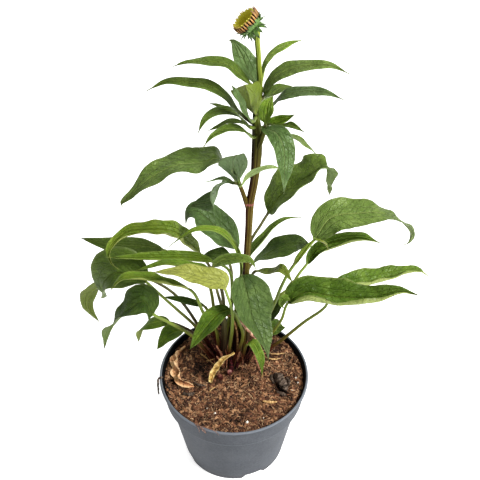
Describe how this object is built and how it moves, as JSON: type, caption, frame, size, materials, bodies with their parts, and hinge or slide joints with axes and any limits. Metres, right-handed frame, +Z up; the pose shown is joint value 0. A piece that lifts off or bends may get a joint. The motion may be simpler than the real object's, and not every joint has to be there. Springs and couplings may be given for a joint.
{
  "type": "potted coneflower plant",
  "caption": "Potted purple coneflower: a clump of arching lance-shaped leaves and a leafy stem with an opening flower head, in a round tapered nursery pot filled with soil.",
  "frame": {"origin": "centre of the pot's underside, on the surface it stands on", "axes": "+Z up along the pot's axis; -Y towards the side of the plant that is usually seen, +X to the right of that view"},
  "size_m": [0.4064, 0.2209, 0.5939],
  "materials": {
    "pot": "satin",
    "soil": "matte",
    "stem": "satin",
    "leaf": "satin",
    "leaf_pale": "satin",
    "leaf_yellow": "satin",
    "bracts": "matte",
    "rays": "matte",
    "disc": "matte",
    "dry_tan": "matte",
    "dry_yellow": "matte",
    "stub": "matte",
    "bark": "matte",
    "chip": "matte"
  },
  "bodies": {
    "root": {"pot": "pot", "soil": "soil", "flowering_stem": "stem", "flower_bracts": "bracts", "flower_rays": "rays", "flower_disc": "disc", "leaf_right_high": "leaf", "leaf_right_arching": "leaf", "leaf_right_dark": "leaf", "leaf_right_behind": "leaf", "leaf_right_slim": "leaf", "leaf_right_small": "leaf", "leaf_right_long": "leaf", "leaf_right_low": "leaf", "leaf_right_inner": "leaf", "leaf_right_rim": "leaf", "leaf_front_broad": "leaf", "leaf_front_short": "leaf", "leaf_front_left": "leaf", "leaf_front_arch": "leaf", "leaf_yellow": "leaf_yellow", "leaf_left_curled": "leaf_pale", "leaf_left_pointed": "leaf", "leaf_left_round": "leaf", "leaf_left_hanging": "leaf_pale", "leaf_left_band": "leaf_pale", "leaf_left_upper": "leaf", "leaf_left_middle": "leaf", "leaf_back_blue": "leaf", "leaf_back_small": "leaf", "leaf_left_drooping": "leaf", "leaf_left_slim": "leaf", "leaf_left_low": "leaf", "leaf_left_rim": "leaf", "dry_leaf_curled": "dry_tan", "dry_strip_yellow": "dry_yellow", "dry_strip_pink": "dry_tan", "cut_stub_left": "stub", "cut_stub_right": "stub", "bark_chunk": "bark", "wood_chip": "chip"}
  },
  "joints": []
}
